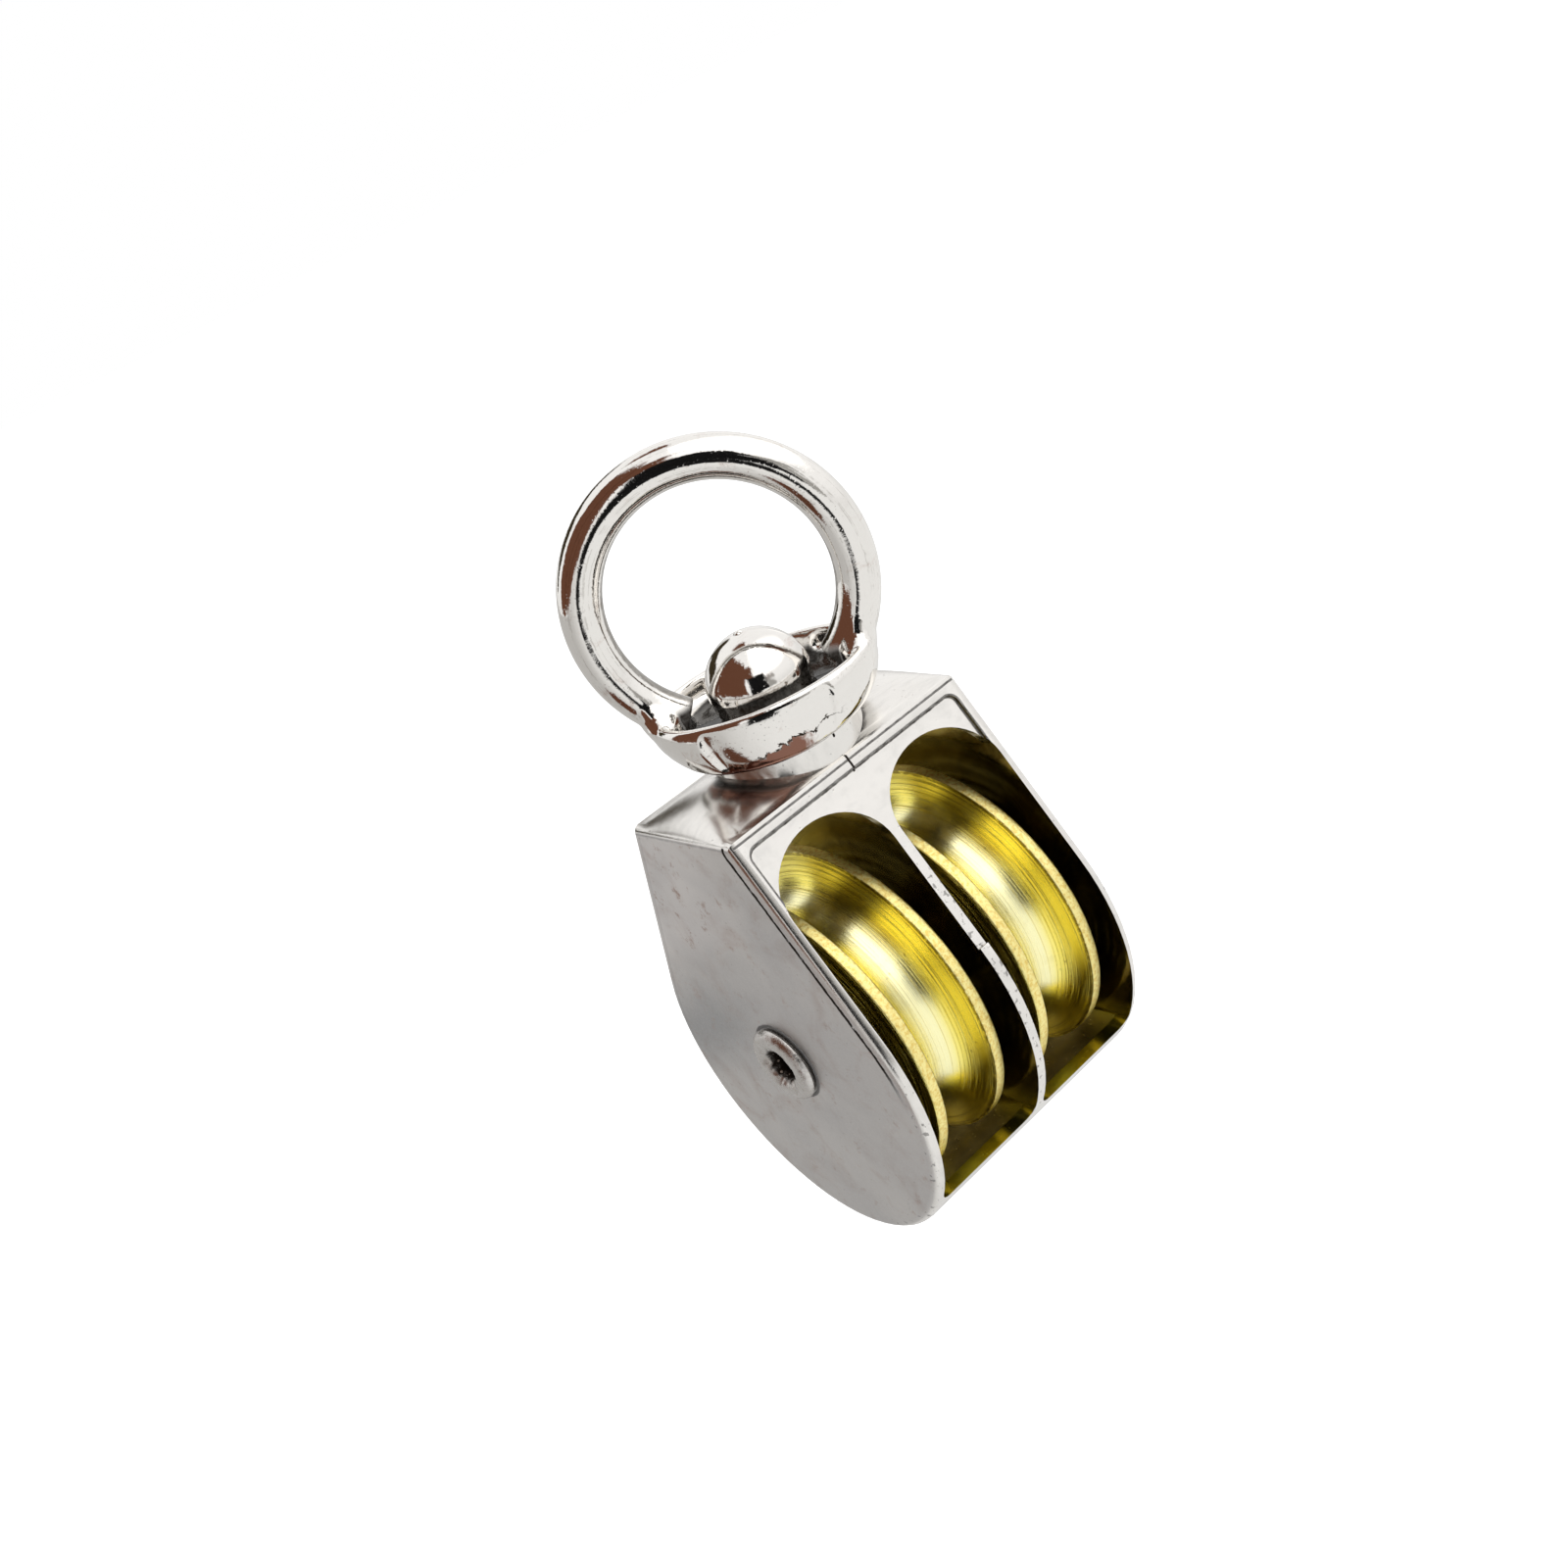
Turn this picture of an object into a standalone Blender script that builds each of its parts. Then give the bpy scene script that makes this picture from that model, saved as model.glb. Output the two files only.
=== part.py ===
"""Swivel-eye double pulley.

Frame: the origin is the eye's bearing point, the inside top of the ring.
+Z runs up along the swivel axis, X along the sheaves' axle, and -Y is the front.
"""
import math

import bmesh
import bpy
from mathutils import Matrix, Vector

# Driving dimensions, in metres
SHEAVE_RADIUS = 0.019        # 38 mm sheaves, the size the pulley is sold by
SHEAVE_WIDTH = 0.0108        # over the two rims
RIM_THICK = 0.0015
GROOVE_DEPTH = 0.0044
HUB_RADIUS = 0.0056
AXLE_RADIUS = 0.0028
RUN_CLEAR = 0.0001           # radial clearance of a turning fit
SEAT_GAP = 0.0003            # gap between pieces that rest on each other

HALF_WIDTH = 0.0172          # half the housing, along the axle
CHEEK_THICK = 0.0013
DIVIDER_THICK = 0.0014
TOP_ABOVE_AXLE = 0.0295
TOP_HALF_DEPTH = 0.009
BOWL_HALF_DEPTH = 0.0206     # the cheek's round lower end is half an ellipse
BOWL_DROP = 0.002            # its centre below the axle
BOWL_HEIGHT = 0.0216
EDGE_ROUND = 0.0011          # outer edges of the cheeks
PANEL_THICK = 0.0015
TOP_THICK = 0.0022
TIE_THICK = 0.0013
TIE_BELOW_AXLE = 0.0163      # where the bottom tie's front and back edges lie
ARCH_TOP = TOP_ABOVE_AXLE - 0.0031
ARCH_SPRING = ARCH_TOP - 0.0061
RIM_BAND = 0.0016            # raised border round the front panel
RIM_STEP = 0.0004
CROWN = 0.0022               # how far the top swells above its straight edges
BOSS_RADIUS = 0.0086
BOSS_TOP = TOP_ABOVE_AXLE + 0.0027

DRUM_BOTTOM = BOSS_TOP + SEAT_GAP
DRUM_TOP = DRUM_BOTTOM + 0.0064
DRUM_HALF_LENGTH = 0.0132    # along the ring's plane
DRUM_HALF_DEPTH = 0.0103     # across it
DRUM_TAPER = 0.0036          # how far its two ends draw in at the bottom
LEG_SWELL = 0.0003           # how far the drum's ends stand out under the legs
RING_CENTRE = DRUM_TOP + 0.01
RING_RADIUS = 0.0145         # to the middle of the wire
WIRE_RADIUS = 0.0024
RING_TURN = math.radians(-38.0)   # ring's plane, turned about the swivel axis
PIN_RADIUS = 0.003
DOME_RADIUS = 0.0058
DOME_HEIGHT = 0.0055
TAIL_RADIUS = 0.004          # the swivel pin's headed tail under the roof
TAIL_THICK = 0.0014
DOME_FOOT = DRUM_BOTTOM + 0.0061   # where the pin head's dome starts
DISH_FLOOR = DRUM_BOTTOM + 0.0037
RIVET_HEAD = 0.0046

AXLE_Z = -(RING_CENTRE + RING_RADIUS - WIRE_RADIUS)   # axle below the eye's bearing point

STEPS = 64


def clear_scene():
    for obj in list(bpy.data.objects):
        bpy.data.objects.remove(obj, do_unlink=True)


def material(name, colour, roughness, metallic):
    mat = bpy.data.materials.new(name)
    mat.use_nodes = True
    shader = mat.node_tree.nodes["Principled BSDF"]
    shader.inputs["Base Color"].default_value = (*colour, 1.0)
    shader.inputs["Roughness"].default_value = roughness
    shader.inputs["Metallic"].default_value = metallic
    return mat


def make_object(name, bm, mat=None, sharp=32.0):
    bmesh.ops.remove_doubles(bm, verts=bm.verts, dist=1e-7)
    bmesh.ops.recalc_face_normals(bm, faces=bm.faces)
    mesh = bpy.data.meshes.new(name)
    bm.to_mesh(mesh)
    bm.free()
    mesh.shade_smooth()
    mesh.set_sharp_from_angle(angle=math.radians(sharp))
    obj = bpy.data.objects.new(name, mesh)
    bpy.context.scene.collection.objects.link(obj)
    if mat:
        mesh.materials.append(mat)
    return obj


def loft(name, rings, mat=None, closed=False, sharp=32.0):
    """Skin rings of equal length; the two ends are capped unless closed."""
    bm = bmesh.new()
    rows = [[bm.verts.new(p) for p in ring] for ring in rings]
    count = len(rings[0])
    pairs = list(zip(rows, rows[1:])) + ([(rows[-1], rows[0])] if closed else [])
    for low, high in pairs:
        for i in range(count):
            j = (i + 1) % count
            bm.faces.new((low[i], low[j], high[j], high[i]))
    if not closed:
        bm.faces.new(rows[0][::-1])
        bm.faces.new(rows[-1])
    return make_object(name, bm, mat, sharp)


def turn(name, profile, along, mat=None, steps=STEPS, sharp=32.0):
    """Turn an open profile of (distance, radius) about the X or Z axis.

    Both ends of the profile lie on the axis.
    """
    bm = bmesh.new()
    rows = []
    for dist, radius in profile:
        row = []
        for i in range(1 if radius == 0.0 else steps):
            a = 2.0 * math.pi * i / steps
            u, v = radius * math.cos(a), radius * math.sin(a)
            row.append(bm.verts.new((dist, u, v) if along == "X" else (u, v, dist)))
        rows.append(row)
    for low, high in zip(rows, rows[1:]):
        for i in range(steps):
            j = (i + 1) % steps
            corners = [low[i % len(low)], low[j % len(low)], high[j % len(high)], high[i % len(high)]]
            corners = list(dict.fromkeys(corners))
            bm.faces.new(corners)
    return make_object(name, bm, mat, sharp)


def cutter(obj):
    obj.hide_render = True
    obj.display_type = "WIRE"
    return obj


def combine(obj, other, operation):
    mod = obj.modifiers.new(other.name, "BOOLEAN")
    mod.operation = operation
    mod.solver = "EXACT"
    mod.object = cutter(other)


def cylinder(name, radius, low, high, along="Z", centre=(0.0, 0.0), steps=STEPS):
    obj = turn(name, [(low, 0.0), (low, radius), (high, radius), (high, 0.0)], along, steps=steps)
    if along == "X":
        obj.location = (0.0, centre[0], centre[1])
    return obj


def offset_loop(loop, inset):
    """Move each corner of a convex counter-clockwise loop inwards."""
    moved = []
    count = len(loop)
    for i, point in enumerate(loop):
        here = Vector(point)
        before = (here - Vector(loop[i - 1])).normalized()
        after = (Vector(loop[(i + 1) % count]) - here).normalized()
        normal = (Vector((-before.y, before.x)) + Vector((-after.y, after.x))).normalized()
        reach = inset / max(normal.dot(Vector((-after.y, after.x))), 0.3)
        moved.append(tuple(here + normal * reach))
    return moved


def tangent_angle():
    """Angle on the bowl where the straight front edge runs into it."""
    a, b = BOWL_HALF_DEPTH, BOWL_HEIGHT
    u, v = TOP_HALF_DEPTH / a, (TOP_ABOVE_AXLE + BOWL_DROP) / b
    return math.atan2(v, u) - math.acos(1.0 / math.hypot(u, v))


def cheek_outline(steps=48):
    """Cheek seen along the axle: (y, z) counter-clockwise, z from the axle."""
    start = tangent_angle()
    span = math.pi + 2.0 * start
    loop = [(TOP_HALF_DEPTH, TOP_ABOVE_AXLE), (-TOP_HALF_DEPTH, TOP_ABOVE_AXLE)]
    for i in range(steps + 1):
        a = math.pi - start + span * i / steps
        loop.append((BOWL_HALF_DEPTH * math.cos(a), BOWL_HEIGHT * math.sin(a) - BOWL_DROP))
    return loop


def ring_at(x, loop):
    return [(x, y, z + AXLE_Z) for y, z in loop]


def housing_body(mat):
    outline = cheek_outline()
    w, e = HALF_WIDTH, EDGE_ROUND
    ends = [(w, e), (w - 0.1 * e, 0.56 * e), (w - 0.3 * e, 0.3 * e), (w - 0.56 * e, 0.1 * e), (w - e, 0.0)]
    rings = [ring_at(-x, offset_loop(outline, inset)) for x, inset in ends]
    rings += [ring_at(x, offset_loop(outline, inset)) for x, inset in reversed(ends)]
    return loft("housing", rings, mat, sharp=38.0)


def top_crown():
    """Pillow-shaped swelling of the top between its four straight edges."""
    half_x, half_y = HALF_WIDTH - 0.0004, TOP_HALF_DEPTH - 0.0003
    nx, ny = 28, 14
    base = AXLE_Z + TOP_ABOVE_AXLE
    bm = bmesh.new()
    grid = []
    for i in range(nx + 1):
        u = -math.cos(math.pi * i / nx)
        row = []
        for j in range(ny + 1):
            v = -math.cos(math.pi * j / ny)
            rise = CROWN * (1.0 - v * v) ** 0.8 * (1.0 - abs(u) ** 5) ** 0.8
            row.append(bm.verts.new((half_x * u, half_y * v, base - 0.0002 + rise)))
        grid.append(row)
    for i in range(nx):
        for j in range(ny):
            bm.faces.new((grid[i][j], grid[i + 1][j], grid[i + 1][j + 1], grid[i][j + 1]))
    edge = [grid[i][0] for i in range(nx + 1)] + [grid[nx][j] for j in range(1, ny + 1)]
    edge += [grid[i][ny] for i in range(nx - 1, -1, -1)] + [grid[0][j] for j in range(ny - 1, 0, -1)]
    foot = [bm.verts.new((p.co.x, p.co.y, base - 0.0012)) for p in edge]
    for i in range(len(edge)):
        j = (i + 1) % len(edge)
        bm.faces.new((edge[i], foot[i], foot[j], edge[j]))
    bm.faces.new(foot[::-1])
    return make_object("top_crown", bm)


def pocket(side):
    """Hollow that one sheave turns in, between a cheek and the divider."""
    inner = offset_loop(cheek_outline(), PANEL_THICK)
    roof = TOP_ABOVE_AXLE - TOP_THICK
    inner = [(y, min(z, roof)) for y, z in inner]
    near, far = DIVIDER_THICK / 2.0, HALF_WIDTH - CHEEK_THICK
    return loft("pocket_" + ("right" if side > 0 else "left"),
                [ring_at(side * near, inner), ring_at(side * far, inner)])


def window(side):
    """Arched opening through the front and back panels, down to the tie."""
    near, far = DIVIDER_THICK / 2.0 - 0.0001, HALF_WIDTH - CHEEK_THICK + 0.0001
    middle, half = (near + far) / 2.0, (far - near) / 2.0
    loop = []
    fillet = 0.0016
    for i in range(9):
        a = -math.pi / 2.0 * (1.0 - i / 8.0)
        loop.append((middle + half - fillet + fillet * math.cos(a),
                     -TIE_BELOW_AXLE + fillet + fillet * math.sin(a)))
    for i in range(25):
        a = math.pi * i / 24.0
        loop.append((middle + half * math.cos(a), ARCH_SPRING + (ARCH_TOP - ARCH_SPRING) * math.sin(a)))
    for i in range(9):
        a = math.pi + math.pi / 2.0 * i / 8.0
        loop.append((middle - half + fillet + fillet * math.cos(a),
                     -TIE_BELOW_AXLE + fillet + fillet * math.sin(a)))
    rings = [[(side * x, y, z + AXLE_Z) for x, z in loop] for y in (-0.03, 0.03)]
    return loft("window_" + ("right" if side > 0 else "left"), rings)


def panel_recess(facing):
    """Shallow step that leaves a raised band round the front or back panel."""
    start = tangent_angle()
    top = Vector((TOP_HALF_DEPTH, TOP_ABOVE_AXLE))
    foot = Vector((BOWL_HALF_DEPTH * math.cos(start), BOWL_HEIGHT * math.sin(start) - BOWL_DROP))
    down = (foot - top).normalized()
    out = Vector((-down.y, down.x))
    if out.x < 0.0:
        out = -out
    half = HALF_WIDTH - RIM_BAND
    corner = 0.0012
    loop = [(-half, (foot - top).length), (half, (foot - top).length)]
    for i in range(7):
        a = math.pi / 2.0 * i / 6.0
        loop.append((half - corner + corner * math.cos(a), RIM_BAND + corner - corner * math.sin(a)))
    for i in range(7):
        a = math.pi / 2.0 * (1.0 + i / 6.0)
        loop.append((-half + corner + corner * math.cos(a), RIM_BAND + corner - corner * math.sin(a)))
    rings = []
    for depth in (-RIM_STEP, 0.002):
        ring = []
        for x, along in loop:
            p = top + down * along + out * depth
            ring.append((x, facing * p.x, p.y + AXLE_Z))
        rings.append(ring)
    return loft("recess_" + ("back" if facing > 0 else "front"), rings)


def housing():
    """Die-cast housing: two cheeks, divider, arched panels, crowned top, tie."""
    nickel = material("cast_nickel", (0.62, 0.61, 0.6), 0.28, 1.0)
    body = housing_body(nickel)
    combine(body, top_crown(), "UNION")
    combine(body, cylinder("boss", BOSS_RADIUS, AXLE_Z + TOP_ABOVE_AXLE - 0.0008,
                           AXLE_Z + BOSS_TOP), "UNION")
    for side in (-1.0, 1.0):
        combine(body, pocket(side), "DIFFERENCE")
        combine(body, window(side), "DIFFERENCE")
    for facing in (-1.0, 1.0):
        combine(body, panel_recess(facing), "DIFFERENCE")
    combine(body, cylinder("pin_bore", PIN_RADIUS + RUN_CLEAR, AXLE_Z + 0.0262,
                           AXLE_Z + BOSS_TOP + 0.002), "DIFFERENCE")
    combine(body, cylinder("tail_notch", 0.0046, AXLE_Z + 0.0238,
                           AXLE_Z + TOP_ABOVE_AXLE - TOP_THICK + 0.00005), "DIFFERENCE")
    combine(body, cylinder("rivet_bore", AXLE_RADIUS + SEAT_GAP, -HALF_WIDTH - 0.002,
                           HALF_WIDTH + 0.002, "X", (0.0, AXLE_Z)), "DIFFERENCE")
    return body


def ring_wire():
    """The eye's ring; its two legs run down into the drum."""
    first = math.asin((DRUM_TOP - WIRE_RADIUS * 2.0 / 3.0 - RING_CENTRE) / RING_RADIUS)
    span = math.pi - 2.0 * first
    rows = []
    count, around = 56, 20
    across = Vector((math.cos(RING_TURN), math.sin(RING_TURN), 0.0))
    up = Vector((0.0, 0.0, 1.0))
    normal = across.cross(up)
    for i in range(count + 1):
        a = first + span * i / count
        out = across * math.cos(a) + up * math.sin(a)
        centre = up * (AXLE_Z + RING_CENTRE) + out * RING_RADIUS
        rows.append([tuple(centre + out * WIRE_RADIUS * math.cos(t) + normal * WIRE_RADIUS * math.sin(t))
                     for t in (2.0 * math.pi * k / around for k in range(around))])
    return loft("ring_wire", rows)


def swivel_eye():
    """Cast ring and the dished drum it stands on, one casting."""
    bright = material("bright_nickel", (0.72, 0.7, 0.68), 0.12, 1.0)
    z = AXLE_Z
    bore = PIN_RADIUS + RUN_CLEAR
    low, top, floor = z + DRUM_BOTTOM, z + DRUM_TOP, z + DISH_FLOOR
    # Height, and how far inside the oval's greatest outline; the bore stays round
    part = (DRUM_TOP - DRUM_BOTTOM) / 64.0
    shoulder = top - 12.0 * part
    wall = [(low, 10.0), (low + 2.0 * part, 5.0), (low + 6.0 * part, 1.0), (low + 15.0 * part, 0.0),
            (low + 30.0 * part, 0.0), (shoulder, 0.0), (top - 3.0 * part, 1.0), (top, 5.0),
            (top - part, 9.0), (top - 6.0 * part, 13.0), (floor + 8.0 * part, 19.0),
            (floor + 2.0 * part, 25.0), (floor, 32.0)]
    rings = []
    for i in range(STEPS):
        a = 2.0 * math.pi * i / STEPS
        turned = a + RING_TURN
        ring = [(bore * math.cos(turned), bore * math.sin(turned), low)]
        end = abs(math.cos(a))
        for height, inset in wall:
            fall = max(0.0, 1.0 - (height - low) / (shoulder - low))
            # The ends swell where the legs run down the wall
            swell = LEG_SWELL if end > 0.55 and low + 10.0 * part < height <= shoulder else 0.0
            u = (DRUM_HALF_LENGTH + swell - inset * part - DRUM_TAPER * fall ** 2) * math.cos(a)
            v = (DRUM_HALF_DEPTH + swell - inset * part) * math.sin(a)
            ring.append((u * math.cos(RING_TURN) - v * math.sin(RING_TURN),
                         u * math.sin(RING_TURN) + v * math.cos(RING_TURN), height))
        ring.append((bore * math.cos(turned), bore * math.sin(turned), floor))
        rings.append(ring)
    drum = loft("swivel_eye", rings, bright, closed=True)
    combine(drum, ring_wire(), "UNION")
    return drum


def swivel_pin():
    """Domed rivet that holds the drum on the boss, with its tail headed inside."""
    bright = material("bright_pin", (0.74, 0.72, 0.7), 0.1, 1.0)
    z = AXLE_Z
    under = z + DISH_FLOOR + SEAT_GAP
    roof = z + TOP_ABOVE_AXLE - TOP_THICK
    foot = z + DOME_FOOT
    ball = (DOME_RADIUS ** 2 + DOME_HEIGHT ** 2) / (2.0 * DOME_HEIGHT)
    centre = foot + DOME_HEIGHT - ball
    tail, edge_cut, skirt = TAIL_THICK, TAIL_THICK / 3.5, DOME_RADIUS / 29.0
    profile = [(roof - SEAT_GAP - tail, 0.0), (roof - SEAT_GAP - tail, TAIL_RADIUS - 1.5 * edge_cut),
               (roof - SEAT_GAP - tail + edge_cut, TAIL_RADIUS), (roof - SEAT_GAP, TAIL_RADIUS),
               (roof - SEAT_GAP, PIN_RADIUS), (under, PIN_RADIUS), (under, DOME_RADIUS - 2.0 * skirt),
               (under + skirt, DOME_RADIUS - skirt)]
    edge = math.asin((foot - centre) / ball)
    for i in range(9):
        a = edge + (math.pi / 2.0 - edge) * i / 9.0
        profile.append((centre + ball * math.sin(a), ball * math.cos(a)))
    tip = centre + ball
    nub = DOME_RADIUS / 23.0
    profile += [(tip - nub / 12.0, 2.0 * nub), (tip + 0.8 * nub, 1.2 * nub), (tip + nub, 0.0)]
    return turn("swivel_pin", profile, "Z", bright, steps=40)


def axle_rivet():
    """Rivet through both cheeks and the divider, rolled over at the left end."""
    steel = material("rivet_steel", (0.55, 0.54, 0.52), 0.3, 1.0)
    face = HALF_WIDTH + SEAT_GAP
    head = RIVET_HEAD
    profile = [(-face + 0.002, 0.0), (-face + 0.0016, 0.0012), (-face - 0.0004, 0.0019),
               (-face - 0.0009, 0.0024), (-face - 0.0012, 0.0031), (-face - 0.0011, head - 0.0008),
               (-face - 0.0007, head - 0.0002), (-face - 0.0003, head), (-face, head - 0.0002),
               (-face, AXLE_RADIUS), (face, AXLE_RADIUS), (face, head - 0.0001),
               (face + 0.0003, head), (face + 0.0008, head - 0.0007), (face + 0.0011, head - 0.0018),
               (face + 0.0013, 0.0012), (face + 0.0013, 0.0)]
    obj = turn("axle_rivet", profile, "X", steel, steps=36)
    obj.location = (0.0, 0.0, AXLE_Z)
    return obj


def sheave(name, side):
    """Turned brass sheave with a round groove and a hub wider than its rims."""
    brass = material(name + "_brass", (0.86, 0.66, 0.2), 0.25, 1.0)
    inner = DIVIDER_THICK / 2.0 + SEAT_GAP
    outer = HALF_WIDTH - CHEEK_THICK - SEAT_GAP
    hub = (outer - inner) / 2.0
    half, rim = SHEAVE_WIDTH / 2.0, SHEAVE_RADIUS
    bore = AXLE_RADIUS + RUN_CLEAR
    lip = half - RIM_THICK
    profile = [(-hub, bore), (-hub, HUB_RADIUS - 0.0002), (-hub + 0.0002, HUB_RADIUS), (-half, HUB_RADIUS + 0.0008),
               (-half, rim - 0.0003), (-half + 0.0003, rim)]
    grooves = 10
    for i in range(grooves + 1):
        x = -lip * math.cos(math.pi * i / grooves)
        fall = math.sqrt(max(0.0, 1.0 - (x / lip) ** 2))
        profile.append((x, rim - GROOVE_DEPTH * fall ** 0.9))
    profile += [(half - 0.0003, rim), (half, rim - 0.0003), (half, HUB_RADIUS + 0.0008),
                (hub - 0.0002, HUB_RADIUS), (hub, HUB_RADIUS - 0.0002), (hub, bore)]
    rings = []
    steps = 48
    for i in range(steps):
        a = 2.0 * math.pi * i / steps
        rings.append([(x, r * math.cos(a), r * math.sin(a)) for x, r in profile])
    obj = loft(name, rings, brass, closed=True)
    obj.location = (side * (inner + outer) / 2.0, 0.0, AXLE_Z)
    return obj


def main():
    clear_scene()
    housing()
    swivel_eye()
    swivel_pin()
    axle_rivet()
    sheave("left_sheave", -1.0)
    sheave("right_sheave", 1.0)


main()
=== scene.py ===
"""Looks of a swivel-eye double pulley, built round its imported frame."""
import math

import bmesh
import bpy
from mathutils import Matrix, Vector, noise


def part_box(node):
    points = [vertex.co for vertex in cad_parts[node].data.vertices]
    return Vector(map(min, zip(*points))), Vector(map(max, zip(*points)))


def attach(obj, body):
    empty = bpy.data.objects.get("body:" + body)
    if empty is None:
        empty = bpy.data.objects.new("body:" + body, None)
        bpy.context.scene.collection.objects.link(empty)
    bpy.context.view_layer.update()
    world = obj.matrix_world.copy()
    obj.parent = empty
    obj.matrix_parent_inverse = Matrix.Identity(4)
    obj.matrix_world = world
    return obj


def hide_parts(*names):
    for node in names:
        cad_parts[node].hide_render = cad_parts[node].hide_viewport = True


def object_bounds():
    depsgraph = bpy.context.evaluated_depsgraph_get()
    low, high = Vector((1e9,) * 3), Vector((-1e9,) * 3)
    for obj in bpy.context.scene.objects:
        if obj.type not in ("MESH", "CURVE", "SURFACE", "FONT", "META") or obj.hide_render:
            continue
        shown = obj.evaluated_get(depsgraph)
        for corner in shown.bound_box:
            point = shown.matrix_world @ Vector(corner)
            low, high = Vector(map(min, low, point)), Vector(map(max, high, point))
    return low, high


bl_info = {
    "name": "Double pulley looks",
    "version": (1, 0, 0),
    "blender": (4, 5, 0),
    "location": "View3D > Sidebar > Pulley",
    "description": "Plated housing, swivel eye, turned sheaves and the studio round them",
    "category": "Object",
}

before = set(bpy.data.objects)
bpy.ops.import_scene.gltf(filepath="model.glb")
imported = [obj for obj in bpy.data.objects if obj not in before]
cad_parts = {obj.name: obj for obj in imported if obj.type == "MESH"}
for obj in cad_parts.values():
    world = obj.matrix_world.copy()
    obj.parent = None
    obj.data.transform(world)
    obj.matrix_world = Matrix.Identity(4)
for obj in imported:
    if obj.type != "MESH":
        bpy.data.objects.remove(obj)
CAD_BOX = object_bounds()

# Sizes are in metres. AXLE_Z is the sheaves' axle in the frame; other heights are measured up from it.
AXLE_Z = -0.061

# The cheek's outline: an oval bowl below, and straight sides up to its top corners (depth, height)
CHEEK_DEPTH = 0.0206
CHEEK_BOWL = 0.0216
CHEEK_DROP = 0.002
CHEEK_MEAN = 0.021
CHEEK_TOP = Vector((0.009, 0.0295))

# The sunk front and back panels: half width, border below the top edge and corner radius
PANEL_HALF = 0.0156
PANEL_BORDER = 0.0016
PANEL_CORNER = 0.0012

# The hollow side of the casting: top of the bays, inner face of the cheeks, and where arches and ties begin
BAY_TOP = 0.0285
BAY_HALF = 0.0166
ARCH_LOW = 0.005
TIE_HIGH = -0.008

# The ring's plane is turned about the upright pin, and so is the oval drum under it
EYE_TURN = math.radians(-38.0)
EYE_ACROSS = Vector((math.cos(EYE_TURN), math.sin(EYE_TURN), 0.0))
EYE_ASIDE = Vector((-math.sin(EYE_TURN), math.cos(EYE_TURN), 0.0))
RING_CENTRE = 0.0489
RING_RADIUS = 0.0145
RING_END = 0.0373
RING_STEPS = 180
WIRE_RADIUS = 0.0024
WIRE_STEPS = 48

# Where the ring runs into the drum: height, distance from the pin, half length across, half width aside
RING_ROOT = (
    (0.0338, 0.0088, 0.0012, 0.0020),
    (0.0345, 0.0094, 0.0016, 0.0030),
    (0.0358, 0.0101, 0.0021, 0.0040),
    (0.0374, 0.0108, 0.0023, 0.0043),
    (0.0386, 0.0111, 0.0024, 0.0042),
    (0.0391, 0.0112, 0.0024, 0.0036),
    (0.0398, 0.0115, 0.0024, 0.0030),
    (0.0408, 0.0119, 0.0022, 0.0026),
    (0.0420, 0.0124, 0.0019, 0.0021),
)

# The drum: half sizes of its oval, how far it narrows to its foot, its bore and its heights
DRUM_LONG = 0.0128
DRUM_WIDE = 0.0103
DRUM_TAPER = 0.0030
DRUM_BORE = 0.0031
DRUM_LOW = 0.0325
DRUM_TOP = 0.0389
DRUM_STEPS = 288
DISH_FLOOR = 0.0362
DISH_LONG = 0.0106
DISH_WIDE = 0.0099

# The pin: underside of the housing's roof, underside and foot of the dome, the dome's radius and rise
PIN_ROOF = 0.0273
PIN_UNDER = 0.0365
PIN_FOOT = 0.0386
PIN_DOME = 0.0058
PIN_RISE = 0.0055
PIN_SHANK = 0.003
PIN_NUB = 0.0006
PIN_STEPS = 288
DOME_STEPS = 48

# The axle rivet: the cheek's outer face, and the radii of its heads and its shank
RIVET_FACE = 0.0175
RIVET_HEAD = 0.0046
RIVET_SHANK = 0.0028
RIVET_STEPS = 120

# The sheaves: half width over the flanges, half width and depth of the groove, bore radius
SHEAVE_FLANGE = 0.0054
GROOVE_HALF = 0.0039
GROOVE_DEEP = 0.0044
SHEAVE_BORE = 0.0029

# The camera in the frame's coordinates, from fitting a pinhole camera to the photograph
CAMERA_PLACE = Vector((-0.095744, -0.160113, 0.042939))
CAMERA_RIGHT = Vector((0.70071, -0.59589, -0.39232))
CAMERA_AHEAD = Vector((0.46389, 0.79833, -0.38403))
CAMERA_LENS = 42.75
CAMERA_SENSOR = 36.0

# The studio in the frame's coordinates: half the floor's side, and each lamp's name, place, size and watts
FLOOR_HALF = 3.0
LAMP_AIM = Vector((0.0, 0.0, -0.04))
LAMPS = (
    ("key_lamp", (0.5, -1.0, 0.75), 0.7, 9.0),
    ("side_lamp", (-1.1, -0.2, 0.6), 0.6, 3.5),
)

# Paints of the room that polished metal mirrors
WHITE = (1.0, 1.0, 1.0, 1.0)
BROWN = (0.15, 0.062, 0.036, 1.0)
UMBER = (0.045, 0.034, 0.018, 1.0)
GREY = (0.42, 0.41, 0.39, 1.0)
BLACK = (0.008, 0.008, 0.008, 1.0)

# Far walls of that room: compass bearing, half width, lowest and highest elevation in degrees, and paint
ROOM_WALLS = (
    (170.0, 37.0, -1.0, 66.0, BROWN),
    (91.0, 23.0, 5.0, 28.0, UMBER),
    (75.0, 25.0, 62.0, 78.0, BROWN),
    (-148.0, 15.0, 30.0, 56.0, BROWN),
    (-104.0, 12.0, -4.0, 22.0, GREY),
    (-127.0, 20.0, -20.0, 32.0, BLACK),
)


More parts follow.
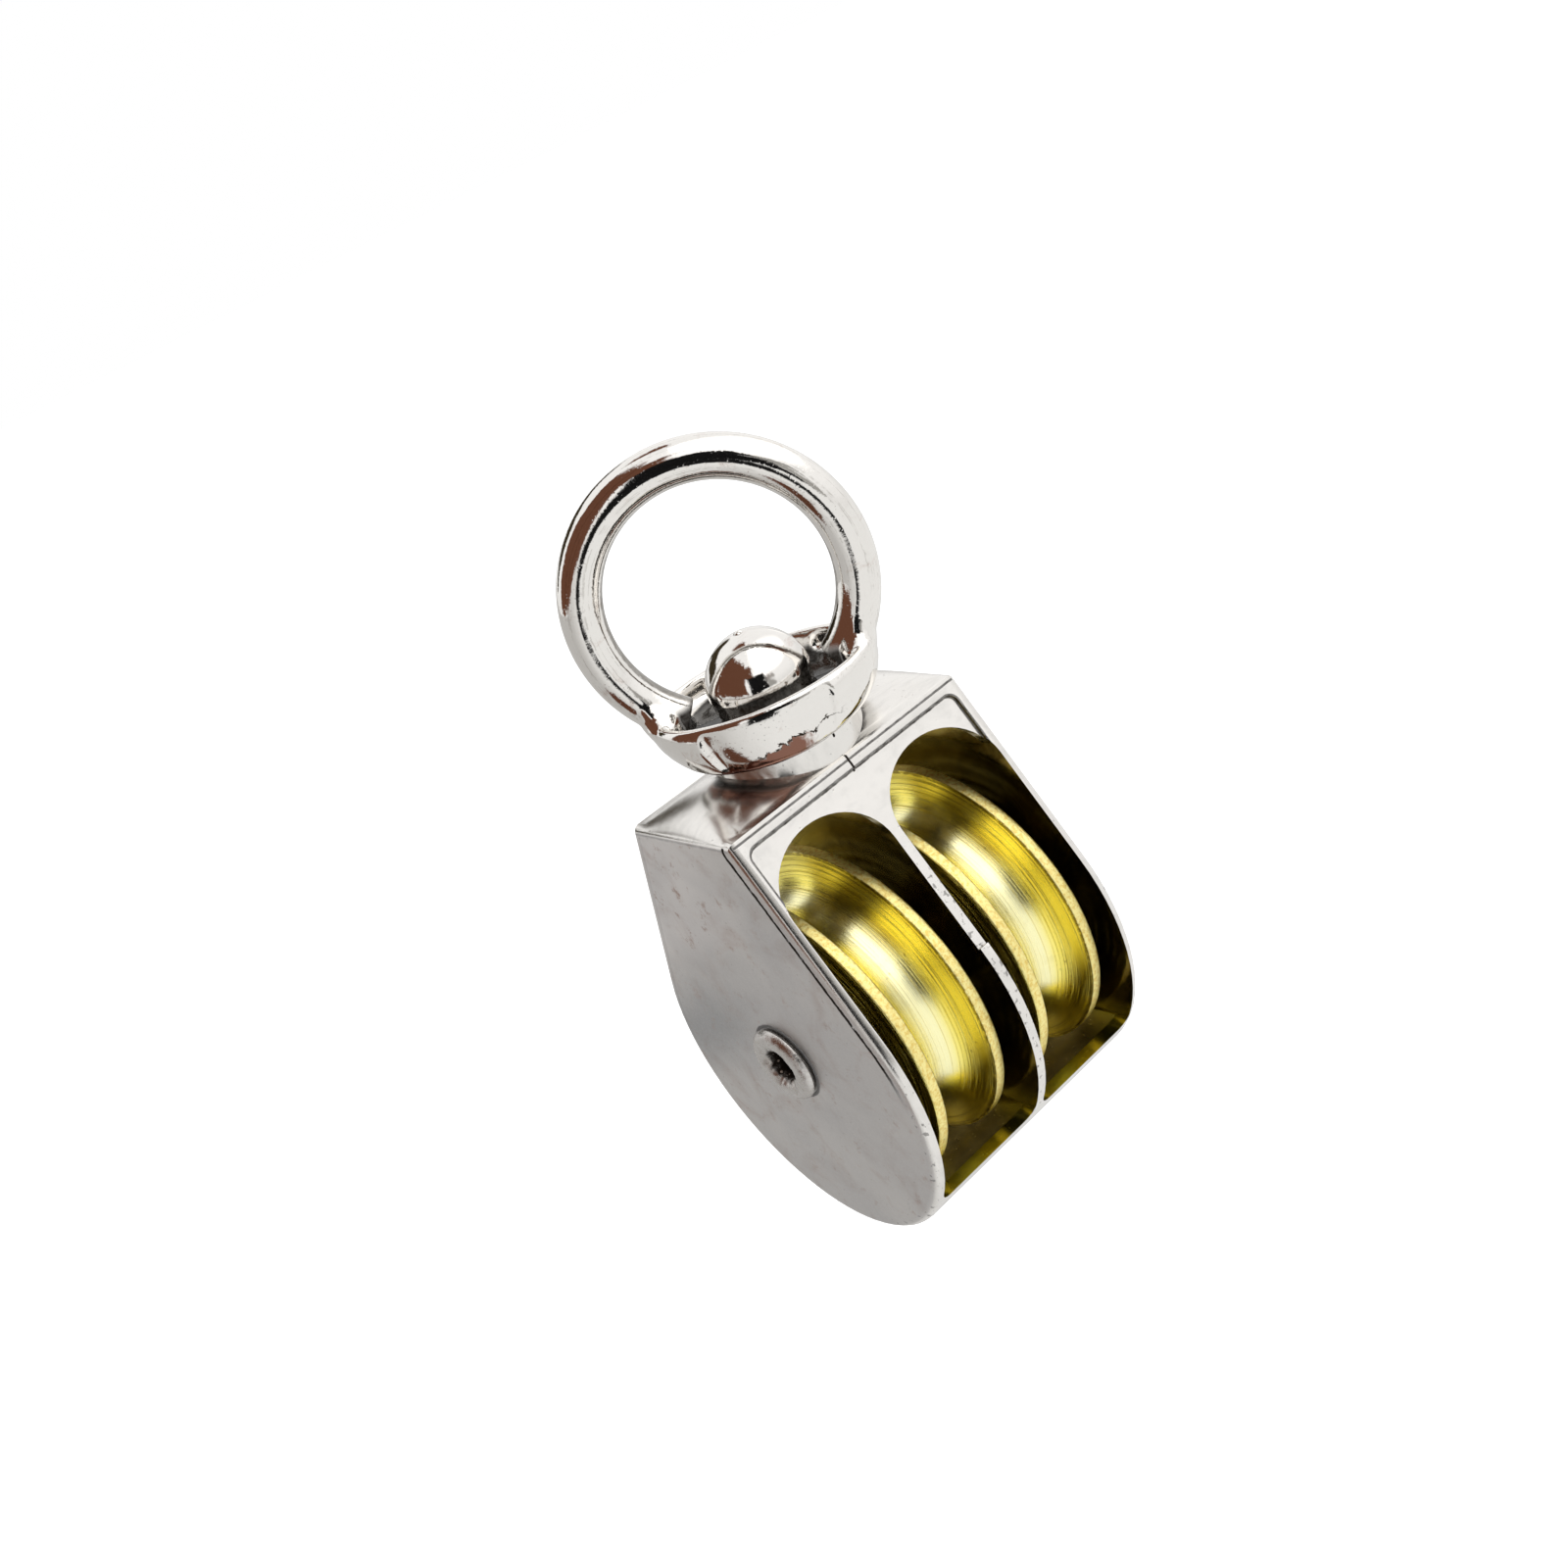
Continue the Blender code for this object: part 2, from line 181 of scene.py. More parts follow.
# Sizes and colours that a user would change
class PulleySizes(bpy.types.PropertyGroup):
    edge_round: bpy.props.FloatProperty(
        name="Casting edge", description="Rounding along the housing's edges",
        default=0.00032, min=0.0, max=0.0006, unit="LENGTH", precision=5)
    eye_voxel: bpy.props.FloatProperty(
        name="Eye detail", description="Voxel size that blends the ring into its drum",
        default=0.00022, min=0.00015, max=0.0006, unit="LENGTH", precision=5)
    groove_steps: bpy.props.IntProperty(
        name="Groove steps", description="Points across each sheave's groove", default=30, min=8, max=64)
    turn_steps: bpy.props.IntProperty(
        name="Turning steps", description="Segments round each sheave", default=144, min=48, max=256)
    floor_drop: bpy.props.FloatProperty(
        name="Floor drop", description="How far the floor lies below the hanging pulley",
        default=0.05, min=0.0, max=0.5, unit="LENGTH")


class PulleyFinishes(bpy.types.PropertyGroup):
    nickel: bpy.props.FloatVectorProperty(
        name="Nickel plate", description="Colour of the bright plating", subtype="COLOR",
        size=4, default=(0.76, 0.74, 0.71, 1.0), min=0.0, max=1.0)
    satin: bpy.props.FloatVectorProperty(
        name="Satin plate", description="Colour of the cheeks' dull plating", subtype="COLOR",
        size=4, default=(0.66, 0.645, 0.63, 1.0), min=0.0, max=1.0)
    stain: bpy.props.FloatVectorProperty(
        name="Stain", description="Faint stains in the plating", subtype="COLOR",
        size=4, default=(0.43, 0.28, 0.22, 1.0), min=0.0, max=1.0)
    # the hollow plate's colour is painted shade with a painted reflection of the brass
    hollow: bpy.props.FloatVectorProperty(
        name="Hollow plate", description="Thin dark plating inside the bays", subtype="COLOR",
        size=4, default=(0.42, 0.36, 0.19, 1.0), min=0.0, max=1.0)
    brass: bpy.props.FloatVectorProperty(
        name="Brass", description="Colour of the turned sheaves", subtype="COLOR",
        size=4, default=(0.96, 0.85, 0.31, 1.0), min=0.0, max=1.0)
    rivet: bpy.props.FloatVectorProperty(
        name="Rivet", description="Colour of the axle rivet", subtype="COLOR",
        size=4, default=(0.6, 0.58, 0.56, 1.0), min=0.0, max=1.0)


# Shader maths
class Signal:
    """A node socket that works in Python expressions; every operation adds its Math node."""

    def __init__(self, book, socket):
        self.book, self.socket = book, socket

    def math(self, operation, *values):
        return self.book.make("ShaderNodeMath", {"operation": operation}, values)

    def __add__(self, other):
        return self.math("ADD", self, other)

    def __radd__(self, other):
        return self.math("ADD", other, self)

    def __sub__(self, other):
        return self.math("SUBTRACT", self, other)

    def __rsub__(self, other):
        return self.math("SUBTRACT", other, self)

    def __mul__(self, other):
        return self.math("MULTIPLY", self, other)

    def __rmul__(self, other):
        return self.math("MULTIPLY", other, self)

    def __truediv__(self, other):
        return self.math("DIVIDE", self, other)

    def __pow__(self, other):
        return self.math("POWER", self, other)

    def __abs__(self):
        return self.math("ABSOLUTE", self)

    def __lt__(self, other):
        return self.math("LESS_THAN", self, other)

    def __gt__(self, other):
        return self.math("GREATER_THAN", self, other)

    def clamp(self):
        """Held between 0 and 1."""
        return self.book.make("ShaderNodeClamp", {}, (self, 0.0, 1.0))

    def ease(self, low, high):
        """0 below low, 1 above high, smooth between; low may be the greater."""
        return self.book.make("ShaderNodeMapRange", {"interpolation_type": "SMOOTHSTEP"},
                              (self, low, high, 0.0, 1.0))


class NodeBook:
    """Node tree of one finish, written as expressions."""

    def __init__(self, tree):
        self.tree = tree
        self.tree.nodes.clear()

    def make(self, kind, settings, values, output=0):
        """Add a node: its settings first, then the values or links of its sockets."""
        node = self.tree.nodes.new(kind)
        for key, value in settings.items():
            setattr(node, key, value)
        pairs = values.items() if isinstance(values, dict) else enumerate(values)
        for key, value in pairs:
            socket = node.inputs[key]
            if isinstance(value, Signal):
                self.tree.links.new(value.socket, socket)
            else:
                socket.default_value = value
        return Signal(self, node.outputs[output])

    def place(self):
        """The surface point in its piece's own coordinates."""
        return self.make("ShaderNodeTexCoord", {}, (), "Object")

    def axes(self, vector):
        """The x, y and z of a vector."""
        first = self.make("ShaderNodeSeparateXYZ", {}, (vector,))
        return tuple(Signal(self, socket) for socket in first.socket.node.outputs)

    def rays(self):
        """Whether a ray is a mirrored one, and whether it is the camera's."""
        glossy = self.make("ShaderNodeLightPath", {}, (), "Is Glossy Ray")
        return glossy, Signal(self, glossy.socket.node.outputs["Is Camera Ray"])

    def vector(self, x, y, z):
        return self.make("ShaderNodeCombineXYZ", {}, (x, y, z))

    def scaled(self, vector, factors):
        return self.make("ShaderNodeVectorMath", {"operation": "MULTIPLY"}, (vector, factors))

    def shifted(self, vector, step):
        return self.make("ShaderNodeVectorMath", {"operation": "ADD"}, (vector, step))

    def dot(self, vector, other):
        return self.make("ShaderNodeVectorMath", {"operation": "DOT_PRODUCT"}, (vector, other), "Value")

    def larger(self, first, other):
        return self.make("ShaderNodeMath", {"operation": "MAXIMUM"}, (first, other))

    def near(self, value, place, width):
        """1 at a place, falling to 0 a width away."""
        return 1.0 - abs(value - place).ease(0.0, width)

    def speckle(self, vector, scale, detail=3.0, rough=0.55, warp=0.0):
        """Cloudy noise round 0.5; scale is in clouds to the metre."""
        return self.make("ShaderNodeTexNoise", {"noise_dimensions": "3D"},
                         {"Vector": vector, "Scale": scale, "Detail": detail,
                          "Roughness": rough, "Distortion": warp}, "Fac")

    def cells(self, vector, scale):
        """Distance to the nearest of many scattered points, in their own spacing."""
        return self.make("ShaderNodeTexVoronoi", {"feature": "F1"},
                         {"Vector": vector, "Scale": scale, "Randomness": 1.0}, "Distance")

    def tint(self, amount, low, high):
        """Colour low where the amount is 0, colour high where it is 1."""
        return self.make("ShaderNodeMix", {"data_type": "RGBA"}, {0: amount, 6: low, 7: high}, 2)

    def bump(self, height, depth, strength, under=None):
        """Normal of a relief, laid over the relief under it where one is given."""
        values = {"Height": height, "Distance": depth, "Strength": strength}
        if under is not None:
            values["Normal"] = under
        return self.make("ShaderNodeBump", {}, values)


class Finish(NodeBook):
    """A Principled material that a piece's pattern is written into."""

    def __init__(self, name, **constants):
        self.material = bpy.data.materials.new(name)
        self.material.use_nodes = True
        super().__init__(self.material.node_tree)
        self.shader = self.tree.nodes.new("ShaderNodeBsdfPrincipled")
        self.out = self.tree.nodes.new("ShaderNodeOutputMaterial")
        self.tree.links.new(self.shader.outputs[0], self.out.inputs[0])
        for key, value in constants.items():
            self.shader.inputs[key.capitalize()].default_value = value

    def set(self, socket, value):
        """Link or set one of the shader's own sockets."""
        if isinstance(value, Signal):
            self.tree.links.new(value.socket, self.shader.inputs[socket])
        else:
            self.shader.inputs[socket].default_value = value


def paint(red, green, blue):
    """An opaque colour, in linear values."""
    return (red, green, blue, 1.0)


# The swivel eye and its pin
def bright_nickel(name, colours, eye=False):
    """Polished nickel plate over a die casting: slightly wavy, with faint stains and a parting line."""
    f = Finish(name, metallic=1.0)
    p = f.place()
    wave = f.speckle(p, 260.0, 2.0)
    fine = f.speckle(p, 1500.0, 4.0, 0.6)
    film = f.speckle(p, 420.0, 5.0, 0.7, 0.6)
    pits = f.cells(p, 2600.0)
    stain = film.ease(0.56, 0.74)
    colour = f.tint(stain * 0.35, tuple(colours.nickel), tuple(colours.stain))
    colour = f.tint(fine.ease(0.35, 0.8) * 0.12, colour, paint(0.9, 0.88, 0.85))
    off = f.dot(p, EYE_ASIDE)
    ridge = 1.0 - abs(off + (fine - 0.5) * 0.00016).ease(0.00004, 0.00020)
    if eye:
        colour = drum_film_shade_and_reflection(f, p, fine, film, colour)
        colour = ring_grime_and_reflection(f, p, off, fine, film, colour)
    f.set("Base Color", colour)
    f.set("Roughness", 0.035 + fine * 0.06 + stain * 0.08)
    low = f.bump(wave * 0.7 + fine * 0.13 + ridge * 0.5, 0.00012, 0.5)
    f.set("Normal", f.bump(1.0 - pits.ease(0.0, 0.28), 0.00002, 0.3, low))
    return f.material


def drum_film_shade_and_reflection(f, p, fine, film, colour):
    """Dark film in the dish with painted shade over it, and a brown band along the drum's front foot that is
    tarnished metal and also a painted brown reflection.
    """
    height = f.axes(p)[2] - AXLE_Z
    u = f.dot(p, EYE_ACROSS) / DISH_LONG
    v = f.dot(p, EYE_ASIDE) / DISH_WIDE
    # painted shade, over a dark film, fills the dish round the pin's dome
    inside = 1.0 - ((u * u + v * v) ** 0.5 + (fine - 0.5) * 0.05).ease(0.88, 0.93)
    deep = 1.0 - height.ease(0.0386, 0.0397)
    dish = (inside * deep * (0.86 + fine * 0.22)).clamp()
    colour = f.tint(dish, colour, paint(0.012, 0.009, 0.006))
    # a brown band on the drum's front foot, tarnished metal and a painted brown reflection, with a dark
    # broken top edge
    foot = height + (film - 0.5) * 0.0042 - u * 0.0010
    front = v < 0.0
    right_end = (u + (fine - 0.5) * 0.3).ease(0.25, 0.4)
    tarnish_and_reflection = (1.0 - foot.ease(0.03405, 0.03420)) * front * (1.0 - right_end)
    colour = f.tint(tarnish_and_reflection * (1.0 - dish) * 0.95, colour, paint(0.19, 0.075, 0.045))
    trim = f.near(foot, 0.03425, 0.00022).ease(0.1, 0.5) * front * (1.0 - u.ease(0.5, 0.8))
    colour = f.tint(trim * (1.0 - dish) * fine.ease(0.35, 0.5), colour, paint(0.03, 0.022, 0.015))
    # the dark film and painted shade in the dish have little shine
    f.set("Metallic", 1.0 - dish)
    f.set("Specular IOR Level", 0.15)
    return colour


def ring_grime_and_reflection(f, p, off, fine, film, colour):
    """Fine scratches along the ring's wire, and grime with a painted dark reflection on its inner parting
    line.
    """
    along = f.dot(p, EYE_ACROSS)
    up = f.axes(p)[2] - (AXLE_Z + RING_CENTRE)
    reach = (along * along + up * up) ** 0.5 + (fine - 0.5) * 0.0003
    scratch = f.speckle(f.vector(reach * 4200.0, off * 4200.0, up * 70.0), 1.0, 3.0, 0.6)
    scratch = scratch.ease(0.56, 0.66) * (up > -0.011) * film.ease(0.42, 0.55)
    colour = f.tint(scratch * 0.4, colour, paint(0.3, 0.28, 0.25))
    # painted dark reflection, with grime, along the ring's inner parting line
    groove = (1.0 - reach.ease(0.01222, 0.01236)) * f.near(off + 0.0003, 0.0, 0.0011).ease(0.1, 0.5)
    groove = groove * (0.35 + film * 0.9).clamp() * (up > -0.0098)
    return f.tint(groove * 0.85, colour, paint(0.05, 0.036, 0.02))


# The housing
def cheek_edge(y, height):
    """Distance in from the cheek's outline, and distance down its straight side, for y and a height."""
    lift = CHEEK_TOP.y + CHEEK_DROP
    turn = math.atan2(lift / CHEEK_BOWL, CHEEK_TOP.x / CHEEK_DEPTH) - math.acos(
        1.0 / math.hypot(CHEEK_TOP.x / CHEEK_DEPTH, lift / CHEEK_BOWL))
    foot = Vector((CHEEK_DEPTH * math.cos(turn), CHEEK_BOWL * math.sin(turn) - CHEEK_DROP))
    down = (foot - CHEEK_TOP).normalized()
    out = Vector((-down.y, down.x))
    reach = abs(y)
    straight = CHEEK_TOP.dot(out) - (reach * out.x + height * out.y)
    across, rise = reach / CHEEK_DEPTH, (height + CHEEK_DROP) / CHEEK_BOWL
    bowl = (1.0 - (across * across + rise * rise) ** 0.5) * CHEEK_MEAN
    upper = height > foot.y
    along = (reach - CHEEK_TOP.x) * down.x + (height - CHEEK_TOP.y) * down.y
    return straight * upper + bowl * (1.0 - upper), along


class PlatePlace:
    """Where a point lies on the housing's outside, as shader values."""

    def __init__(self, f):
        self.p = f.place()
        self.x, self.y, z = f.axes(self.p)
        self.side = abs(self.x)
        self.height = z - AXLE_Z
        self.inset, self.along = cheek_edge(self.y, self.height)
        self.cheek = self.side.ease(0.01690, 0.01716)
        self.front = abs(self.y).ease(0.0085, 0.009) * (1.0 - self.cheek)
        self.ragged = f.speckle(self.p, 1150.0, 4.0, 0.75)

    def wander(self, width):
        """A small shift that makes a line run unevenly."""
        return (self.ragged - 0.5) * width


def edge_lines(f, at):
    """Dark broken lines where the cheek's rounded edge and its top lip leave the flat cheek."""
    seam = f.near(at.inset + at.wander(0.0004), 0.00128, 0.00038) * at.side.ease(0.0168, 0.0170)
    seam = seam.ease(0.15, 0.5) * at.ragged.ease(0.32, 0.38) * at.height.ease(-0.003, 0.004)
    seam = seam * (1.0 - 0.85 * at.y.ease(0.0, 0.004)) * (1.0 - 0.65 * (at.x > 0.0))
    lip = f.near(at.height + at.wander(0.0003), 0.0290, 0.00036) * at.cheek * 0.8
    return seam, lip


def panel_lines(f, at):
    """Painted shadow in the step round the sunk panels, painted shade along the bead over them, and the mark
    at their middle.
    """
    over = f.larger(at.side - (PANEL_HALF - PANEL_CORNER), 0.0)
    above = f.larger((PANEL_BORDER + PANEL_CORNER) - at.along, 0.0)
    step = (over * over + above * above) ** 0.5 - PANEL_CORNER
    # painted shadow along the step round the sunk panels
    line = f.near(step + at.wander(0.0002), 0.0, 0.00032) * at.front * (at.side < 0.0164) * (at.along < 0.024)
    line = line.ease(0.1, 0.5)
    # painted shade along the bead over the panels
    bead = f.near(at.along + at.wander(0.00012), 0.00052, 0.00022) * at.front * (at.side < 0.0166)
    bead = bead.ease(0.1, 0.6) * (0.55 + at.ragged * 0.5)
    rows = (at.along < 0.0019) * at.front + at.height.ease(0.0317, 0.0319)
    tick = (f.near(at.x + at.wander(0.0002), 0.0002, 0.00022) * rows).ease(0.1, 0.5)
    return line, bead, tick


def rim_scuffs(f, at):
    """Dark specks rubbed into the divider's edge and the cheeks' front rims."""
    narrow = (at.side < 0.0016) * (at.height < 0.017) * (at.height > -0.016)
    edging = (at.side > 0.0166) * (at.height < 0.006) * (1.0 - at.y.ease(-0.004, 0.0))
    rim = (1.0 - at.inset.ease(0.0009, 0.0012)) * f.larger(narrow, edging)
    return f.speckle(f.shifted(at.p, (0.1, 0.2, 0.5)), 1500.0, 2.0, 0.5).ease(0.6, 0.68) * rim * 0.6


def dark_marks(f, at):
    """Every dark line and speck on the housing's outside, painted shade and shadow among them, with a painted
    contact shadow round the rivet.
    """
    seam, lip = edge_lines(f, at)
    line, bead, tick = panel_lines(f, at)
    # painted contact shadow in a ring round the rivet's head
    around = (at.y * at.y + at.height * at.height) ** 0.5 + at.wander(0.0003)
    rivet_contact_shadow = f.near(around, 0.0047, 0.00035).ease(0.1, 0.6) * at.cheek * 0.75
    dark = f.larger(f.larger(rim_scuffs(f, at), seam), lip)
    marks = f.larger(line * (0.35 + at.ragged * 0.9), f.larger(bead, f.larger(tick, rivet_contact_shadow)))
    return f.larger(dark, marks)


def cheek_tones(f, at, blot, colours):
    """Plain plating with painted shade in a broad grey band below the cheek's middle and a painted highlight
    in a pale band above it.
    """
    uneven = blot * 6.0 - 3.0
    plain = f.tint(at.cheek, tuple(colours.nickel), tuple(colours.satin))
    # painted shade: a broad grey band across the cheek, weaker on the right cheek
    shade = f.near(at.height + at.y * 0.35 + uneven * 0.0012, 0.0060, 0.0085)
    shade = shade * at.y.ease(-0.004, 0.012) * at.cheek
    plain = f.tint(shade * (0.75 - 0.4 * (at.x > 0.0)), plain, paint(0.36, 0.37, 0.38))
    # painted highlight: a pale band over the cheek's upper part
    pale = (at.height + at.y * 0.3 + uneven * 0.001).ease(0.0135, 0.0185)
    pale = pale * at.y.ease(-0.009, 0.006) * at.cheek
    return f.tint(pale * 0.6, plain, paint(0.92, 0.89, 0.87)), pale


def outer_plate(colours):
    """The housing's outside: satin cheeks, polished crown and rims, brushed panels."""
    f = Finish("outer_plate", metallic=1.0)
    at = PlatePlace(f)
    p, cheek = at.p, at.cheek
    top = at.height.ease(0.0293, 0.0296)
    fine = f.speckle(p, 2100.0, 4.0, 0.62)
    grit = f.speckle(p, 5200.0, 3.0, 0.6)
    grain = f.speckle(f.scaled(p, (900.0, 5000.0, 700.0)), 1.0, 3.0)
    wave = f.speckle(p, 190.0, 2.0)
    blot = f.speckle(p, 120.0, 5.0, 0.66, 0.8)
    blotch = f.speckle(f.shifted(p, (0.02, 0.05, 0.01)), 300.0, 4.0, 0.6, 0.4)
    pits = (1.0 - f.cells(p, 1500.0).ease(0.0, 0.22)) * f.speckle(p, 600.0, 2.0).ease(0.55, 0.62)
    stain = (blot.ease(0.5, 0.72) * 0.55 + blotch.ease(0.55, 0.72) * 0.35) * cheek
    dark = dark_marks(f, at)
    plain, pale = cheek_tones(f, at, blot, colours)
    rust = f.speckle(f.shifted(p, (0.3, 0.1, 0.7)), 420.0, 5.0, 0.72).ease(0.58, 0.7) * cheek
    colour = f.tint((stain * 0.42 + rust * (0.4 + pale * 0.4)).clamp(), plain, tuple(colours.stain))
    streak = f.speckle(f.scaled(p, (420.0, 1500.0, 300.0)), 1.0, 4.0, 0.65)
    colour = f.tint(streak.ease(0.42, 0.8) * (1.0 - cheek) * 0.3, colour, paint(0.5, 0.49, 0.47))
    cloud = f.speckle(p, 75.0, 3.0, 0.6, 0.5).ease(0.35, 0.75)
    colour = f.tint(cloud * cheek * 0.3, colour, paint(0.42, 0.42, 0.44))
    colour = f.tint(grit.ease(0.4, 0.7) * cheek * 0.14, colour, paint(0.84, 0.83, 0.82))
    colour = f.tint(pits * 0.5, colour, paint(0.2, 0.17, 0.15))
    # painted reflection of the brass sheaves on the tie's front face
    tie_brass_reflection = (at.height < -0.011) * at.inset.ease(0.00025, 0.0005) * (at.side < 0.0158) * (1.0 - cheek)
    colour = f.tint(tie_brass_reflection * at.ragged.ease(0.3, 0.55) * 0.85, colour, paint(0.9, 0.78, 0.25))
    f.set("Base Color", f.tint(dark.clamp(), colour, paint(0.016, 0.013, 0.011)))
    f.set("Roughness", 0.07 + (1.0 - cheek) * (fine * 0.1 + top * 0.10 + (1.0 - top) * 0.09)
          + cheek * (0.26 + fine * 0.16 + blot * 0.08 + stain * 0.12) + dark * 0.2)
    # the dark marks, dirt and painted shade alike, are without the metal's shine
    f.set("Metallic", 1.0 - dark.clamp())
    f.set("Specular IOR Level", 0.0)
    relief = wave * 0.7 + fine * (0.05 + cheek * 0.12) + grain * 0.06 * (1.0 - cheek) * (1.0 - top)
    low = f.bump(relief - dark * 0.25, 0.00010, 0.45)
    f.set("Normal", f.bump(1.0 - pits, 0.00005, 0.5, low))
    return f.material


def hollow_plate_shaded(colours):
    """Plating inside the bays, its colour painted shade with a painted reflection of the brass and clouds of
    tarnish; painted shade is darkest at the axle's height, and a painted reflection of the brass turns it
    olive near the tie's lip.
    """
    f = Finish("hollow_plate_shaded", metallic=1.0)
    p = f.place()
    film = f.speckle(p, 170.0, 5.0, 0.65, 0.7)
    fine = f.speckle(p, 1300.0, 4.0, 0.6)
    # the dark olive base is painted shade and painted brass reflection; the darker clouds are tarnish
    colour = f.tint(film.ease(0.35, 0.7), tuple(colours.hollow), paint(0.17, 0.13, 0.05))
    colour = f.tint(fine.ease(0.5, 0.8) * 0.2, colour, paint(0.46, 0.39, 0.2))
    axes = f.axes(p)
    height = axes[2] - AXLE_Z
    # painted shade, deepest at the axle's height between the sheaves and the cheeks
    middle = (1.0 - height.ease(0.006, 0.016)) * height.ease(-0.018, -0.013)
    colour = f.tint(middle * 0.75, colour, paint(0.07, 0.05, 0.015))
    foot = 1.0 - height.ease(-0.016, -0.012)
    # painted reflection of the brass, olive-yellow near the tie's lip
    lip_brass_reflection = abs(axes[1]).ease(0.007, 0.0135) * foot * (0.35 + film * 0.8)
    f.set("Base Color", f.tint(lip_brass_reflection.clamp(), colour, paint(0.82, 0.74, 0.1)))
    f.set("Roughness", 0.08 + fine * 0.08 + foot * 0.14)
    f.set("Normal", f.bump(film * 0.6 + fine * 0.06, 0.0001, 0.5))
    return f.material


# The sheaves and their rivet
def turned_brass(name, colours, middle):
    """Yellow turned metal with fine lathe lines and rubbed rims, a painted highlight along the groove's floor
    and a painted reflection of the brass on its walls; middle is the sheave's x.
    """
    f = Finish(name, metallic=1.0)
    p = f.place()
    x, y, z = f.axes(p)
    up = z - AXLE_Z
    radius = (y * y + up * up) ** 0.5
    across = x - middle
    lines = f.speckle(f.vector(across * 14000.0, radius * 14000.0, 0.0), 1.0, 2.0, 0.7)
    broad = f.speckle(f.vector(across * 2600.0, radius * 2600.0, 0.0), 1.0, 3.0, 0.6)
    cloud = f.speckle(p, 210.0, 4.0, 0.6)
    nick = f.speckle(p, 900.0, 4.0, 0.7)
    rim = radius.ease(0.01885, 0.01898)
    colour = f.tint(broad.ease(0.42, 0.62) * 0.6, tuple(colours.brass), paint(0.98, 0.92, 0.44))
    # painted highlight: the groove's floor paler
    floor = 1.0 - abs(across).ease(0.0010, 0.0030)
    colour = f.tint(floor * 0.8, colour, paint(0.99, 0.96, 0.60))
    # painted reflection of the brass in itself: the groove's walls deep yellow
    wall = abs(across + (nick - 0.5) * 0.0002).ease(0.0012, 0.0030)
    colour = f.tint(wall * (1.0 - rim) * 0.5, colour, paint(0.98, 0.82, 0.03))
    scores = f.speckle(f.vector(across * 6000.0, radius * 3500.0, up * 40.0), 1.0, 3.0, 0.6)
    scored = scores.ease(0.53, 0.63) * (0.3 + wall * 0.7) * (1.0 - rim)
    colour = f.tint(scored * 0.7, colour, paint(0.42, 0.33, 0.03))
    colour = f.tint(cloud.ease(0.55, 0.78) * 0.25, colour, paint(0.6, 0.5, 0.12))
    rubbed = f.speckle(p, 2400.0, 4.0, 0.7).ease(0.4, 0.66)
    colour = f.tint(rim, colour, f.tint(rubbed, paint(0.97, 0.87, 0.38), paint(0.80, 0.60, 0.17)))
    worn = (1.0 - f.cells(p, 700.0).ease(0.0, 0.16)) * cloud.ease(0.5, 0.6)
    colour = f.tint(worn * 0.6, colour, paint(0.16, 0.12, 0.03))
    edge = f.near(abs(across) + (nick - 0.5) * 0.0003, GROOVE_HALF, 0.00022)
    edge = edge.ease(0.2, 0.6) * radius.ease(0.0184, 0.0187)
    colour = f.tint(edge * nick.ease(0.4, 0.5) * 0.7, colour, paint(0.2, 0.14, 0.02))
    f.set("Base Color", colour)
    f.set("Roughness", 0.17 + lines * 0.12 + rim * (0.12 + nick * 0.2))
    low = f.bump(lines * 0.6 + broad * 0.9 + scores * 0.25, 0.00006, 0.6)
    f.set("Normal", f.bump(nick * rim - scored * 0.25, 0.00020, 0.7, low))
    return f.material


def rivet_steel(colours):
    """Plated rivet, bright where it is rolled over, and dark crust with painted shade in its torn hollow
    middle.
    """
    f = Finish("rivet_steel", metallic=1.0)
    p = f.place()
    x, y, z = f.axes(p)
    up = z - AXLE_Z
    radius = (y * y + up * up) ** 0.5
    fine = f.speckle(p, 1700.0, 4.0, 0.65)
    crust = f.speckle(p, 900.0, 5.0, 0.7, 1.0)
    # dark crust and painted shade in the rivet's torn hollow end
    middle = (1.0 - (radius + (crust - 0.5) * 0.0012).ease(0.0019, 0.0024)) * (x < 0.0)
    colour = f.tint(crust.ease(0.45, 0.75) * 0.45, tuple(colours.rivet), paint(0.3, 0.25, 0.2))
    pit = f.tint(f.cells(p, 1400.0).ease(0.12, 0.3), paint(0.5, 0.42, 0.36), paint(0.022, 0.016, 0.012))
    f.set("Base Color", f.tint(middle, colour, pit))
    f.set("Roughness", 0.18 + fine * 0.2 + middle * 0.35)
    f.set("Normal", f.bump(crust * 0.7 + fine * 0.3, 0.00015, 0.6))
    return f.material


# The studio
def flat_distance(x, y):
    """Distance from the upright axis, kept off zero because others divide by it."""
    return (x * x + y * y) ** 0.5 + 0.0001


def facing(x, y, distance, bearing):
    """1 straight towards a compass bearing in degrees, -1 straight away from it."""
    angle = math.radians(bearing)
    return (x * math.cos(angle) + y * math.sin(angle)) / distance


